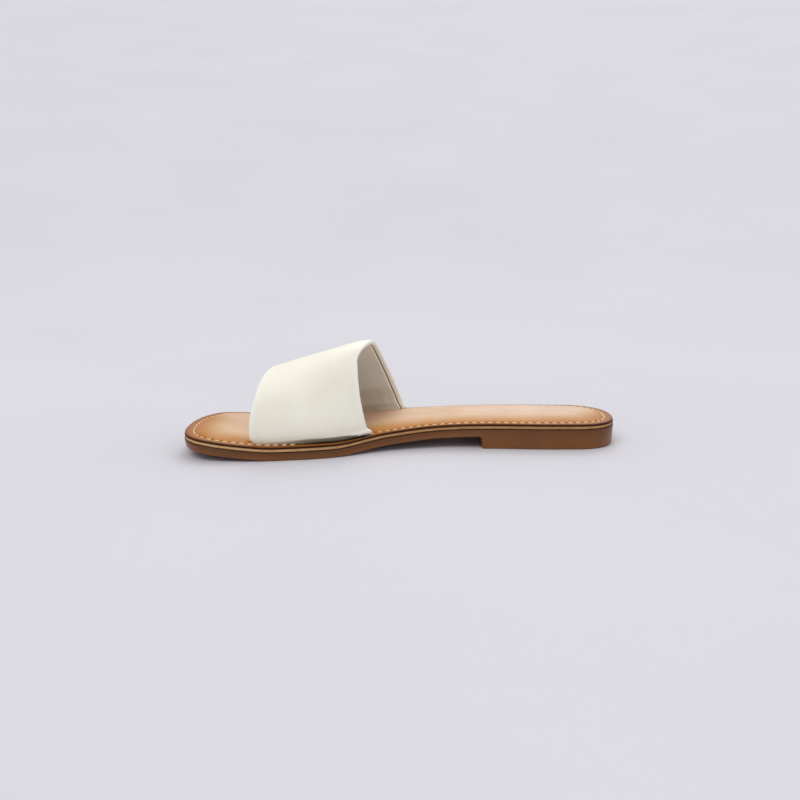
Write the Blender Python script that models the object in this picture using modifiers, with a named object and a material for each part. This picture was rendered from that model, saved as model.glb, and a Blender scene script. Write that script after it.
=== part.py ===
"""A right-foot open-toe mule: a moulded outsole with a low heel, a midsole, an insole and one wide band."""

import bmesh
import bpy
import numpy as np

MM = 0.001

# Driving sizes, in millimetres: the toe points to -X, the inner side of the foot to -Y, the floor is z = 0
LENGTH = 250.0
CLEARANCE = 0.3
INSOLE_THICKNESS = 1.6
MIDSOLE_THICKNESS = 2.2
HEEL_BREAST_FROM_TOE = 169.7
HEEL_BREAST_RUN = 0.2
HEEL_BREAST_SPACING = 2.0
SOLE_STATIONS = 56
OUTLINE_SAMPLES = 2001
SHARP_ANGLE = np.radians(40.0)

# The sole's cross sections: where the middle of the foot runs, half the width, the height of the line
# between insole and midsole, and how thick the outsole is in front of the heel
SECTION_COLUMNS = ("from_toe", "centre", "half_width", "feather_height", "outsole_thickness")
SECTION_ROWS = (
    (0.0, -15.4, 0.0, 12.0, 4.8),
    (10.0, -10.7, 31.6, 11.5, 4.8),
    (30.0, -6.4, 40.1, 9.1, 4.8),
    (55.0, -1.8, 43.3, 7.0, 4.8),
    (85.0, 2.2, 41.5, 7.0, 4.8),
    (115.0, 4.3, 31.2, 10.4, 4.8),
    (145.0, 5.3, 26.2, 12.8, 4.7),
    (175.0, 4.4, 26.6, 13.9, 4.7),
    (210.0, 2.7, 27.4, 14.0, 4.7),
    (237.0, 1.8, 24.2, 14.0, 4.7),
    (250.0, 2.5, 0.0, 14.0, 4.7),
)

# Side profiles, from the top edge down. The columns are the height over the piece's underside as a share of
# its thickness, a height added to that, and how far the edge stands inside the sole's outline
OUTSOLE_PROFILE = (
    (1.0, 0.0, 0.3),
    (1.0, -0.4, 0.0),
    (0.0, 0.9, 0.5),
    (0.0, 0.3, 0.75),
    (0.0, 0.0, 1.4),
)
MIDSOLE_PROFILE = (
    (1.0, 0.0, 0.6),
    (1.0, -0.4, 0.25),
    (0.0, 0.3, 0.25),
    (0.0, 0.0, 0.5),
)
INSOLE_PROFILE = (
    (1.0, 0.0, 1.5),
    (1.0, -0.35, 0.7),
    (0.0, 0.4, 0.5),
    (0.0, 0.0, 0.8),
)

# The band, over the foot from the medial slit to the lateral one
BAND_THICKNESS = 2.6
BAND_EDGE_RADIUS = 1.0
BAND_EDGE_SEGMENTS = 2
BAND_EDGE_ANGLE = np.radians(60.0)
BAND_GIRTH_STEPS = 36
BAND_WIDTH_STEPS = 14
SLIT_INSET = 7.0
SLIT_STEPS = 24
SLIT_OVERRUN = 1.0

# Where the band's two edges run, by the share of the girth passed
BAND_COLUMNS = ("girth_share", "front_from_toe", "rear_from_toe")
BAND_ROWS = (
    (0.00, 39.9, 104.0),
    (0.06, 39.9, 101.5),
    (0.25, 43.3, 98.6),
    (0.31, 44.4, 98.5),
    (0.36, 45.4, 100.0),
    (0.42, 46.6, 102.6),
    (0.50, 48.4, 105.8),
    (0.75, 55.4, 113.5),
    (1.00, 57.8, 127.1),
)

# The band's hoop at its front and rear edges: crown height over the floor, how far the crown leans to the
# inner side, and how far each wall swells out over the sole
HOOP_FRONT = {"crown": 44.2, "lean": -4.0, "medial_swell": 1.6, "lateral_swell": 1.6}
HOOP_REAR = {"crown": 60.9, "lean": -3.0, "medial_swell": 3.0, "lateral_swell": 2.2}
# Near its rear edge the band falls away from that crown: from which share of its width, and how far
DROOP_START = 0.8
DROOP = 1.9
MEDIAL_SQUARENESS = 2.5
LATERAL_SQUARENESS = 2.2
SWELL_HEIGHT = 7.0

# Finishes: colour, roughness
FINISHES = {
    "outsole": ((0.130, 0.060, 0.030), 0.42),
    "midsole": ((0.470, 0.300, 0.170), 0.75),
    "insole": ((0.640, 0.420, 0.260), 0.48),
    "upper": ((0.820, 0.800, 0.700), 0.45),
}


def table_column(columns, rows, name):
    return np.array([row[columns.index(name)] for row in rows])


def row_slopes(places, values, level):
    """The slope at each row; with level set, flat stretches and turning points stay level."""
    steps = np.diff(places)
    rates = np.diff(values) / steps
    inner = (steps[1:] * rates[:-1] + steps[:-1] * rates[1:]) / (steps[1:] + steps[:-1])
    if level:
        rising_on = rates[:-1] * rates[1:] > 0.0
        sums = np.where(rising_on, rates[:-1] + rates[1:], 1.0)
        inner = np.where(rising_on, 2.0 * rates[:-1] * rates[1:] / sums, 0.0)
    first = 2.0 * rates[0] - inner[0]
    last = 2.0 * rates[-1] - inner[-1]
    return np.concatenate([[first], inner, [last]])


def smooth(places, values, at, level=False):
    """A smooth curve through the rows of a table, read at one place or many."""
    slopes = row_slopes(places, values, level)
    at = np.clip(np.asarray(at, float), places[0], places[-1])
    row = np.clip(np.searchsorted(places, at, side="right") - 1, 0, len(places) - 2)
    step = places[row + 1] - places[row]
    t = (at - places[row]) / step
    start = values[row] * (1.0 + 2.0 * t) * (1.0 - t) ** 2 + slopes[row] * step * t * (1.0 - t) ** 2
    end = values[row + 1] * t**2 * (3.0 - 2.0 * t) + slopes[row + 1] * step * t**2 * (t - 1.0)
    return start + end


def section(name):
    return table_column(SECTION_COLUMNS, SECTION_ROWS, name)


def length_angle(x):
    """Turns a place along the sole into an angle, so that a straight rise in it rounds off both ends."""
    return np.arccos(np.clip(-2.0 * np.asarray(x, float) / LENGTH, -1.0, 1.0))


def across(name, x):
    return smooth(length_angle(section("from_toe") - LENGTH / 2), section(name), length_angle(x))


def along(name, x):
    return smooth(section("from_toe"), section(name), np.asarray(x, float) + LENGTH / 2, level=True)


def width_shift():
    """Moves the sole so that the middle of its width is at y = 0."""
    x = np.linspace(-LENGTH / 2, LENGTH / 2, OUTLINE_SAMPLES)
    medial = across("centre", x) - across("half_width", x)
    lateral = across("centre", x) + across("half_width", x)
    return -(medial.min() + lateral.max()) / 2


WIDTH_SHIFT = width_shift()


def edge_y(x, side):
    """The sole's outline on one side: -1 is medial, +1 lateral."""
    return WIDTH_SHIFT + across("centre", x) + side * across("half_width", x)


def insole_bottom(x):
    return along("feather_height", x) + CLEARANCE / 2


def insole_top(x):
    return insole_bottom(x) + INSOLE_THICKNESS


def midsole_top(x):
    return along("feather_height", x) - CLEARANCE / 2


def midsole_bottom(x):
    return along("feather_height", x) - MIDSOLE_THICKNESS + CLEARANCE / 2


def outsole_top(x):
    return midsole_bottom(x) - CLEARANCE


def outsole_bottom(x):
    arch = along("feather_height", x) - MIDSOLE_THICKNESS - along("outsole_thickness", x)
    return np.where(x < HEEL_BREAST_FROM_TOE - LENGTH / 2, np.maximum(arch, 0.0), 0.0)


def station_places():
    """Places along the sole, close together at its ends, with a pair at the heel breast."""
    evenly = -LENGTH / 2 * np.cos(np.linspace(0.0, np.pi, SOLE_STATIONS + 1))
    breast = HEEL_BREAST_FROM_TOE - LENGTH / 2
    pair = breast + HEEL_BREAST_RUN * np.array([-0.5, 0.5])
    apart = np.abs(evenly - breast) > HEEL_BREAST_SPACING
    return np.sort(np.concatenate([evenly[apart], pair]))


def sole_outline(places):
    """The outline as a closed loop, toe, medial side, heel, lateral side, with its outward directions."""
    back = places[-2:0:-1]
    x = np.concatenate([places, back])
    y = np.concatenate([edge_y(places, -1), edge_y(back, 1)])
    points = np.stack([x, y], axis=1)
    chords = np.roll(points, -1, axis=0) - np.roll(points, 1, axis=0)
    chords /= np.linalg.norm(chords, axis=1)[:, None]
    return points, np.stack([chords[:, 1], -chords[:, 0]], axis=1)


def side_rings(places, bottom, top, profile):
    """One loop of points round the sole for each row of a side profile."""
    points, outward = sole_outline(places)
    low = bottom(points[:, 0])
    thickness = top(points[:, 0]) - low
    rings = []
    for share, added, inset in profile:
        flat = points - inset * outward
        height = low + share * thickness + added
        rings.append(np.column_stack([flat, height]))
    return rings


def mesh_object(name, bm, collection):
    mesh = bpy.data.meshes.new(name)
    bm.to_mesh(mesh)
    bm.free()
    mesh.shade_smooth()
    mesh.set_sharp_from_angle(angle=SHARP_ANGLE)
    made = bpy.data.objects.new(name, mesh)
    collection.objects.link(made)
    return made


def layer_object(name, rings, collection):
    """A closed layer of the sole: walls between the rings, and a top and underside across the stations."""
    bm = bmesh.new()
    loops = [[bm.verts.new(point * MM) for point in ring] for ring in rings]
    count = len(loops[0])
    for upper, lower in zip(loops, loops[1:]):
        for i in range(count):
            j = (i + 1) % count
            bm.faces.new((upper[i], lower[i], lower[j], upper[j]))
    for k in range(count // 2):
        corners = [k, k + 1, (count - k - 1) % count, (count - k) % count]
        corners = list(dict.fromkeys(corners))
        bm.faces.new([loops[0][i] for i in corners])
        bm.faces.new([loops[-1][i] for i in reversed(corners)])
    return mesh_object(name, bm, collection)


def slit_point(x, side, z):
    """A point over the middle of a slit, a set distance inside the sole's outline."""
    reach = 1.0
    slope = (edge_y(x + reach, side) - edge_y(x - reach, side)) / (2.0 * reach)
    return np.array([x, edge_y(x, side) - side * SLIT_INSET * np.hypot(1.0, slope), z])


def band_edges(girth):
    """Where along the foot the band's front and rear edges are at a share of its girth."""
    shares = table_column(BAND_COLUMNS, BAND_ROWS, "girth_share")
    front = table_column(BAND_COLUMNS, BAND_ROWS, "front_from_toe")
    rear = table_column(BAND_COLUMNS, BAND_ROWS, "rear_from_toe")
    return smooth(shares, front, girth) - LENGTH / 2, smooth(shares, rear, girth) - LENGTH / 2


def between(front, rear, share):
    return front + (rear - front) * share


def hoop_size(name, share):
    return between(HOOP_FRONT[name], HOOP_REAR[name], share)


def crown_height(share):
    """The crown's height over the floor, falling away near the rear edge."""
    past = max(share - DROOP_START, 0.0) / (1.0 - DROOP_START)
    return hoop_size("crown", share) - DROOP * past**2


def band_point(girth, share):
    """A point of the band's middle surface; share runs from its front edge to its rear edge."""
    medial_x = between(*band_edges(0.0), share)
    lateral_x = between(*band_edges(1.0), share)
    medial = slit_point(medial_x, -1, insole_top(medial_x))
    lateral = slit_point(lateral_x, 1, insole_top(lateral_x))
    turn = np.pi * girth
    power = 2.0 / (MEDIAL_SQUARENESS if girth < 0.5 else LATERAL_SQUARENESS)
    sideways = -np.sign(np.cos(turn)) * abs(np.cos(turn)) ** power
    rise = max(np.sin(turn), 0.0) ** power
    point = (medial + lateral) / 2 + sideways * (lateral - medial) / 2
    height = rise * (crown_height(share) - (medial[2] + lateral[2]) / 2)
    swell = hoop_size("medial_swell" if girth < 0.5 else "lateral_swell", share)
    swell *= height / SWELL_HEIGHT * np.exp(1.0 - height / SWELL_HEIGHT)
    point[0] = between(*band_edges(girth), share)
    point[1] += rise * hoop_size("lean", share) + sideways * swell
    point[2] += height
    return point


def band_foot(girth, share):
    """The end of the band, straight down in its slit and just clear of the midsole."""
    point = band_point(girth, share)
    point[2] = midsole_top(point[0]) + CLEARANCE
    return point


def grid_object(name, columns, rows, place, collection):
    """An open sheet: a grid whose points are set by place(row, column)."""
    bm = bmesh.new()
    bmesh.ops.create_grid(bm, x_segments=columns, y_segments=rows, size=0.5)
    for vertex in bm.verts:
        column = round((vertex.co.x + 0.5) * columns)
        row = round((vertex.co.y + 0.5) * rows)
        vertex.co = place(row, column) * MM
    return mesh_object(name, bm, collection)


def thicken(made, thickness):
    solidify = made.modifiers.new("wall", "SOLIDIFY")
    solidify.thickness = thickness * MM
    solidify.offset = 0.0
    solidify.use_even_offset = True


def make_upper(collection):
    """The band as one wall with rounded edges, its two ends standing in the slits."""
    last = BAND_GIRTH_STEPS

    def place(row, column):
        share = column / BAND_WIDTH_STEPS
        if row in (0, last):
            return band_foot(row / last, share)
        return band_point((row - 1) / (last - 2), share)

    upper = grid_object("upper", BAND_WIDTH_STEPS, BAND_GIRTH_STEPS, place, collection)
    thicken(upper, BAND_THICKNESS)
    bevel = upper.modifiers.new("turned edge", "BEVEL")
    bevel.width = BAND_EDGE_RADIUS * MM
    bevel.segments = BAND_EDGE_SEGMENTS
    bevel.limit_method = "ANGLE"
    bevel.angle_limit = BAND_EDGE_ANGLE
    return upper


def make_slit_cutter(name, girth, side, collection):
    """A curved upright slab that clears the band's end on every side."""
    front, rear = band_edges(girth)

    def place(row, column):
        x = between(front - SLIT_OVERRUN, rear + SLIT_OVERRUN, column / SLIT_STEPS)
        height = insole_top(x) + CLEARANCE if row else insole_bottom(x) - CLEARANCE
        return slit_point(x, side, height)

    cutter = grid_object(name, SLIT_STEPS, 1, place, collection)
    thicken(cutter, BAND_THICKNESS + 2.0 * CLEARANCE)
    cutter.hide_render = True
    cutter.display_type = "WIRE"
    return cutter


def make_sole(parts, cutters):
    places = station_places()
    outsole = side_rings(places, outsole_bottom, outsole_top, OUTSOLE_PROFILE)
    midsole = side_rings(places, midsole_bottom, midsole_top, MIDSOLE_PROFILE)
    insole = side_rings(places, insole_bottom, insole_top, INSOLE_PROFILE)
    layer_object("outsole", outsole, parts)
    layer_object("midsole", midsole, parts)
    footbed = layer_object("insole", insole, parts)
    for name, girth, side in (("medial_slit", 0.0, -1), ("lateral_slit", 1.0, 1)):
        cut = footbed.modifiers.new(name, "BOOLEAN")
        cut.operation = "DIFFERENCE"
        cut.solver = "EXACT"
        cut.object = make_slit_cutter(name, girth, side, cutters)


def add_finish(made, colour, roughness):
    material = bpy.data.materials.new(made.name)
    material.use_nodes = True
    shader = material.node_tree.nodes["Principled BSDF"]
    shader.inputs["Base Color"].default_value = (*colour, 1.0)
    shader.inputs["Roughness"].default_value = roughness
    shader.inputs["Metallic"].default_value = 0.0
    made.data.materials.append(material)


def new_collection(name):
    made = bpy.data.collections.new(name)
    bpy.context.scene.collection.children.link(made)
    return made


def main():
    for old in list(bpy.data.objects):
        bpy.data.objects.remove(old)
    parts = new_collection("mule")
    cutters = new_collection("cutters")
    make_sole(parts, cutters)
    make_upper(parts)
    for made in parts.objects:
        add_finish(made, *FINISHES[made.name])


main()
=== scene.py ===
"""Looks of the open-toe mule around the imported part: band, lining, padded insole, stitches and sole."""
import math

import bpy
import numpy as np
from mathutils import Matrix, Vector


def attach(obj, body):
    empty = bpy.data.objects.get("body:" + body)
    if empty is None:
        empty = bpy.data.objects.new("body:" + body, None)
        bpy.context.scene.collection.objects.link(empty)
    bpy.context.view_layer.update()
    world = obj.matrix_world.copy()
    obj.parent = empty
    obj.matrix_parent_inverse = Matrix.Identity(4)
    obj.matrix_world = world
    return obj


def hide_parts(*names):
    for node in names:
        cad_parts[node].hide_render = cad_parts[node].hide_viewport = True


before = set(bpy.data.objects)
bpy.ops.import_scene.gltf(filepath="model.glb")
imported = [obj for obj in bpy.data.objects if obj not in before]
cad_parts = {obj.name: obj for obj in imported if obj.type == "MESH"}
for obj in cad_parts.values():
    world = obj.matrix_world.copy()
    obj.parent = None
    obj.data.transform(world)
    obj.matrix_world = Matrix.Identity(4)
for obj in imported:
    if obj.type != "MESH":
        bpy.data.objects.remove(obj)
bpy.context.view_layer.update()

MM = 0.001
BODY = "root"


def table(columns, *rows):
    """Columns of numbers, by name."""
    return dict(zip(columns.split(), np.array(rows).T))


# Driving sizes, in millimetres: the toe points to -X, the inner side of the foot to -Y, the floor is z = 0
LENGTH = 250.0
CLEARANCE = 0.3
INSOLE_THICKNESS = 1.6
MIDSOLE_THICKNESS = 2.2
HEEL_BREAST_FROM_TOE = 169.7
OUTLINE_SAMPLES = 2001
SOLE_STATIONS = 200
STATION_SPACING = 0.4

# The sole's cross sections: where the middle of the foot runs, half the width, the height of the line
# between insole and midsole, and how thick the outsole is in front of the heel
SECTIONS = table(
    "from_toe centre half_width feather_height outsole_thickness",
    (0.0, -15.4, 0.0, 12.0, 4.8),
    (10.0, -10.7, 31.6, 11.5, 4.8),
    (30.0, -6.4, 40.1, 9.1, 4.8),
    (55.0, -1.8, 43.3, 7.0, 4.8),
    (85.0, 2.2, 41.5, 7.0, 4.8),
    (115.0, 4.3, 31.2, 10.4, 4.8),
    (145.0, 5.3, 26.2, 12.8, 4.7),
    (175.0, 4.4, 26.6, 13.9, 4.7),
    (210.0, 2.7, 27.4, 14.0, 4.7),
    (237.0, 1.8, 24.2, 14.0, 4.7),
    (250.0, 2.5, 0.0, 14.0, 4.7),
)

# Side profiles, from the top edge down. The columns are the height over the piece's underside as a share of
# its thickness, a height added to that, and how far the edge stands inside the sole's outline
OUTSOLE_PROFILE = (
    (1.0, 0.00, 0.60),
    (1.0, -0.08, 0.26),
    (1.0, -0.30, 0.06),
    (1.0, -0.65, 0.00),
    (0.5, 0.40, 0.26),
    (0.0, 1.20, 0.44),
    (0.0, 0.72, 0.52),
    (0.0, 0.38, 0.66),
    (0.0, 0.15, 0.88),
    (0.0, 0.03, 1.16),
    (0.0, 0.00, 1.50),
)
MIDSOLE_PROFILE = (
    (1.0, 0.00, 0.90),
    (1.0, -0.06, 0.56),
    (1.0, -0.22, 0.32),
    (1.0, -0.50, 0.22),
    (0.5, 0.00, 0.18),
    (0.0, 0.50, 0.20),
    (0.0, 0.22, 0.30),
    (0.0, 0.06, 0.52),
    (0.0, 0.00, 0.90),
)

# The midsole's cut edge wavers: how far, how many waves there are round the sole and where they start. It
# darkens from one place along the sole to another
WAVER_ROWS = ((0.030, 37.0, 0.0), (0.025, 61.0, 1.0), (0.020, 103.0, 2.0))
MIDSOLE_DARKENING = (-100.0, 20.0)

# Heel breast: the hollow where it meets the arch, its upright face and its rounded lower edge
BREAST_HOLLOW_RADIUS = 1.6
BREAST_FACE_RUN = 0.15
BREAST_EDGE_RADIUS = 0.7
BREAST_ARC_STEPS = 6

# Tread: shallow curved grooves across the forefoot and the heel, inside a plain border
GROOVE_DEPTH = 0.6
GROOVE_HALF_WIDTH = 0.8
GROOVE_SHARES = (-1.0, -0.6, 0.0, 0.6, 1.0)
GROOVE_PITCH = 4.6
TREAD_BORDER = 6.0
TREAD_BORDER_BLEND = 1.0
TREAD_COLUMNS = 20
TREAD_FIELDS = (
    {"first": 16.0, "last": 118.0, "bow_start": 8.0, "bow_end": 130.0, "bow": 6.0},
    {"first": 180.0, "last": 240.0, "bow_start": 175.0, "bow_end": 247.0, "bow": 4.0},
)

# Insole: rounded edge, its rim below as insets beyond the edge and heights, flat margin, stitch groove and
# padding inside it
INSOLE_EDGE_INSET = 0.4
INSOLE_EDGE_RADIUS = 0.9
INSOLE_EDGE_STEPS = 6
INSOLE_RIM_ROWS = ((1.2, 0.0), (0.3, 0.0), (0.06, 0.1))
MARGIN_DROP_AT_EDGE = 0.85
MARGIN_DROP_AT_STITCH = 0.7
STITCH_GROOVE_DEPTH = 0.4
STITCH_GROOVE_HALF_WIDTH = 0.5
PADDING_RISE = 1.4
PADDING_RUN = 4.5
PADDING_CROWN = 0.9
PADDING_END_RUN = 14.0
PADDING_FULL_WIDTH = 60.0
INSOLE_INNER_INSET = 12.0
INSOLE_COLUMNS = 16
SLIT_FLOOR = -1.25
SLIT_OUTER_INSET = 5.5
SLIT_INNER_INSET = 8.5
SLIT_BLEND = 0.15
SLIT_OVERRUN = 1.0
SLIT_END_BLEND = 0.5

# Where the insole's tone changes, each from one place to another: its painted sheen, which pales the padding
# towards the heel, along and across the sole and by the distance inside the edge, and its lateral side, with
# a darker margin and a sooner pale padding, which is painted sheen too
HEEL_PALE_X = (-20.0, 90.0)
HEEL_PALE_Y = (-12.0, 20.0)
HEEL_PALE_INSET = (4.8, 10.0)
LATERAL_TONE_Y = (-5.0, 20.0)
LATERAL_MARGIN_END = (4.0, 5.2)
LATERAL_MARGIN_DARKNESS = 0.5
LATERAL_PALE_INSET = (5.2, 7.5)
LATERAL_PALE_SHIFT = 8.0
EDGE_TONE_LIMIT = 1.0

# How far inside the edge the stitch row runs, by distance from the toe
STITCH_LINE = table(
    "from_toe inset",
    (0.0, 5.4),
    (20.0, 4.7),
    (60.0, 4.3),
    (110.0, 3.8),
    (150.0, 3.1),
    (190.0, 3.5),
    (225.0, 4.4),
    (250.0, 5.6),
)
STITCH_INSET = 4.5

# Rings of points in the insole's top: groups from one inset to another, and how many rings each has
INSOLE_RING_ROWS = (
    (INSOLE_EDGE_INSET + INSOLE_EDGE_RADIUS, STITCH_INSET - 1.0, 5),
    (STITCH_INSET - 0.8, SLIT_OUTER_INSET - SLIT_BLEND, 10),
    (SLIT_OUTER_INSET, SLIT_INNER_INSET, 8),
    (SLIT_INNER_INSET + SLIT_BLEND, SLIT_INNER_INSET + SLIT_BLEND, 1),
    (SLIT_INNER_INSET + 0.6, INSOLE_INNER_INSET, 6),
)

# Thread stitches round the insole
STITCH_PITCH = 4.6
STITCH_LENGTH = 3.4
THREAD_HALF_WIDTH = 0.52
THREAD_HALF_HEIGHT = 0.36
THREAD_SEAT = 0.3
THREAD_PLIES = 2
PLY_RELIEF = 0.10
PLY_TWIST = 1.3
THREAD_TAPER = 0.35
TAPER_SHARPNESS = 6
ARCH_SHARPNESS = 4
STITCH_SLANT = 16.0
STITCH_SLANT_SPREAD = 1.5
STITCH_LENGTH_SPREAD = 0.03
STITCH_SEED = 7
COVER_START = 0.42
STITCH_SECTIONS = 13
STITCH_SIDES = 10

# The band, over the foot from the medial slit to the lateral one
BAND_THICKNESS = 2.6
SLIT_INSET = 7.0
CROWN_GIRTH = 0.5
WIDTH_MIDDLE = 0.5
BAND_EDGES = table(
    "girth_share front_from_toe rear_from_toe",
    (0.00, 39.9, 104.0),
    (0.06, 39.9, 101.5),
    (0.25, 43.3, 98.6),
    (0.31, 44.4, 98.5),
    (0.36, 45.4, 100.0),
    (0.42, 46.6, 102.6),
    (0.50, 48.4, 105.8),
    (0.75, 55.4, 113.5),
    (1.00, 57.8, 127.1),
)

# The band's hoop at its front and rear edges: crown height over the floor and how far the crown leans to
# the inner side
HOOP_FRONT = {"crown": 44.2, "lean": -4.0}
HOOP_REAR = {"crown": 60.9, "lean": -3.0}
# Near its rear edge the band falls away from that crown: from which share of its width, and how far
DROOP_START = 0.8
DROOP = 1.9
# How square the two halves of the hoop are, where 2 is a half ellipse
MEDIAL_SQUARENESS = 2.5
LATERAL_SQUARENESS = 2.2

# The band's walls just over the insole, by share of the width: how far the medial one reaches out, how far
# each is tucked under, how high the fold over the tuck is, and how high and how dark the shade under it is.
# Over the fold the swell fades out
BAND_FOOT = table(
    "share medial_reach medial_tuck lateral_tuck fold_height shade_height shade",
    (0.00, 0.5, 1.1, 0.9, 3.0, 1.2, 0.1),
    (0.20, 0.6, 1.6, 1.4, 3.8, 1.8, 0.4),
    (0.36, 0.8, 2.1, 2.0, 4.4, 2.4, 0.7),
    (0.50, 1.4, 2.6, 2.2, 5.0, 3.2, 0.95),
    (0.75, 1.5, 2.7, 2.2, 5.2, 2.9, 1.0),
    (0.89, 1.4, 2.6, 2.0, 5.0, 1.5, 1.0),
    (1.00, 0.9, 2.1, 1.6, 4.4, 0.8, 1.0),
)
FOLD_SHARPNESS = 2.6
LATERAL_SHADE = 0.2
SWELL_FADE = 22.0

# Between which limits the band's painted tones change: the painted shade and the black painted crevice shade
# in it by height as a share of the shade's height, the crevice shade also by share of the width, the lining's
# painted warm bounce at its foot by height
SHADE_FADE = (0.70, 0.95)
CREVICE_FADE = (0.10, 0.35)
CREVICE_START = (0.4, 0.6)
LOW_FADE = (4.0, 18.0)

# The band's lower corners: the front one is rounded off, the rear one runs out in a point
FRONT_CORNER = 1.3
FRONT_CORNER_HEIGHT = 1.4
REAR_CORNER = {"medial": 2.8, "lateral": 0.8}
REAR_CORNER_HEIGHT = 1.15

# How the band is laid up: outer leather turned in at both edges, and a lining set in between the turnings
BAND_FOOT_DROP = 1.0
BAND_FOOT_ROWS = (0.0, 0.3, 0.6, 1.0, 1.5, 2.0, 2.6, 3.3, 4.1, 5.0, 6.0, 7.0)
BAND_ROW_SPACING = 1.0
BAND_FACE_COLUMNS = 64
BAND_EDGE_STEPS = 10
GIRTH_SAMPLES = 20001
WIDTH_SAMPLES = 41
TURNING_WIDTH = 1.5
TURNING_SHARES = (0.3, 0.6, 0.9)
SEAM_STEP_ROWS = ((0.0, 0.08), (0.08, 0.3))
SEAM_RUN = 0.1
SEAM_FADE = 0.3
LINING_SEAT = -0.5
LINING_BACK = -0.55
LINING_FACE = -1.45
LINING_GAP = 0.65
SEAT_INSET = BAND_THICKNESS / 2 + TURNING_WIDTH + SEAM_RUN
LINING_INSET = SEAT_INSET + LINING_GAP
LINING_EDGE_RADIUS = 0.5
LINING_EDGE_CUT = 0.3
LINING_COLUMNS = 40

# Soft creases of the band: place by share of girth and of width, direction from straight across the foot,
# half length, half width and depth in millimetres, a ridge where the depth is negative. A low ridge runs
# along each side, and a crease shows on a face and fades out over its rounded edges
CREASE_COLUMNS = ("girth", "share", "angle", "half_length", "half_width", "depth")
CREASE_SIDE_RIDGE = 0.7
CREASE_FADE = (0.5, 1.0)
CREASE_ROWS = (
    (0.16, 0.72, 62.0, 24.0, 6.0, 0.12),
    (0.30, 0.30, 70.0, 20.0, 7.0, 0.10),
    (0.50, 0.12, 0.0, 26.0, 4.0, 0.12),
    (0.72, 0.55, -60.0, 24.0, 6.0, 0.15),
    (0.88, 0.40, -75.0, 20.0, 5.0, 0.15),
)

# Soft folds of the lining, in the same columns
LINING_CREASE_ROWS = (
    (0.940, 0.70, 90.0, 26.0, 3.4, 0.60),
    (0.978, 0.72, 90.0, 20.0, 2.0, -0.80),
    (0.958, 0.80, 14.0, 4.5, 1.5, 0.50),
    (0.962, 0.88, -12.0, 4.0, 1.3, 0.42),
)

# The shade the band's medial foot casts on the insole's margin, by share of the foot's length from its front:
# how dark it is, and how far inside the edge it starts and is full. It ends inside the slit and shows on
# the rounded edge over a third of its height
FOOT_SHADOW = table(
    "share dark start_inset full_inset",
    (0.08, 0.0, 3.9, 4.8),
    (0.25, 0.55, 3.7, 4.6),
    (0.50, 0.8, 2.8, 4.0),
    (0.75, 1.0, 2.2, 3.6),
    (0.90, 1.0, 1.0, 2.2),
    (1.00, 1.0, 0.5, 1.3),
    (1.07, 0.0, 0.5, 1.3),
)
SHADOW_END_RUN = 1.0
SHADOW_EDGE_HEIGHT = INSOLE_THICKNESS / 3.0

# The photograph's camera: what it looks at, how far off and from where, and its lens
CAMERA_TARGET = (-2.0, 1.4, 24.4)
CAMERA_DISTANCE = 500.0
CAMERA_TURN = 1.23
CAMERA_ELEVATION = 11.95
CAMERA_LENS = 37.91
CAMERA_SENSOR = 36.0

# The studio: a round floor that bends up into a backdrop
FLOOR_RADIUS = 550.0
BEND_RADIUS = 1600.0
BACKDROP_SLOPE = 20.0
BACKDROP_RUN = 8000.0
STAGE_SIDES = 96
STAGE_BEND_STEPS = 12

# Far, soft lights: where each stands, how wide it looks in degrees, how strong it is, and its colour
LIGHT_ROWS = (
    ("overhead", (0.10, 0.42, 0.90), 45.0, 0.6, (1.0, 0.99, 0.97)),
    ("behind", (0.15, 0.75, 0.64), 40.0, 0.6, (1.0, 0.995, 0.985)),
    ("front_left", (-0.36, -0.44, 0.82), 40.0, 1.12, (1.0, 0.985, 0.965)),
    ("right_side", (0.88, -0.25, 0.45), 40.0, 0.35, (1.0, 0.99, 0.98)),
)
SKY_COLOUR = (0.93, 0.94, 1.0, 1.0)
SKY_STRENGTH = 0.5

# Most of a noise pattern lies between these amounts
NOISE_LOW = 0.3
NOISE_HIGH = 0.7


def row_slopes(places, values, level):
    """The slope at each row; with level set, flat stretches and turning points stay level."""
    steps = np.diff(places)
    rates = np.diff(values) / steps
    inner = (steps[1:] * rates[:-1] + steps[:-1] * rates[1:]) / (steps[1:] + steps[:-1])
    if level:
        rising_on = rates[:-1] * rates[1:] > 0.0
        sums = np.where(rising_on, rates[:-1] + rates[1:], 1.0)
        inner = np.where(rising_on, 2.0 * rates[:-1] * rates[1:] / sums, 0.0)
    first = 2.0 * rates[0] - inner[0]
    last = 2.0 * rates[-1] - inner[-1]
    return np.concatenate([[first], inner, [last]])


def smooth(places, values, at, level=False):
    """A smooth curve through the rows of a table, read at one place or many."""
    slopes = row_slopes(places, values, level)
    at = np.clip(np.asarray(at, float), places[0], places[-1])
    row = np.clip(np.searchsorted(places, at, side="right") - 1, 0, len(places) - 2)
    step = places[row + 1] - places[row]
    t = (at - places[row]) / step
    start = values[row] * (1.0 + 2.0 * t) * (1.0 - t) ** 2 + slopes[row] * step * t * (1.0 - t) ** 2
    end = values[row + 1] * t**2 * (3.0 - 2.0 * t) + slopes[row + 1] * step * t**2 * (t - 1.0)
    return start + end


def read_table(rows, name, at, level=False):
    """A table's column as a smooth curve over its first column, read at one place or many."""
    places = next(iter(rows.values()))
    return smooth(places, rows[name], at, level)


def soft_step(low, high, at):
    """0 below low, 1 above high and a smooth rise between them."""
    t = np.clip((np.asarray(at, float) - low) / (high - low), 0.0, 1.0)
    return t * t * (3.0 - 2.0 * t)


def between(front, rear, share):
    return front + (rear - front) * share


def length_angle(x):
    """Turns a place along the sole into an angle, so that a straight rise in it rounds off both ends."""
    return np.arccos(np.clip(-2.0 * np.asarray(x, float) / LENGTH, -1.0, 1.0))


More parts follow.
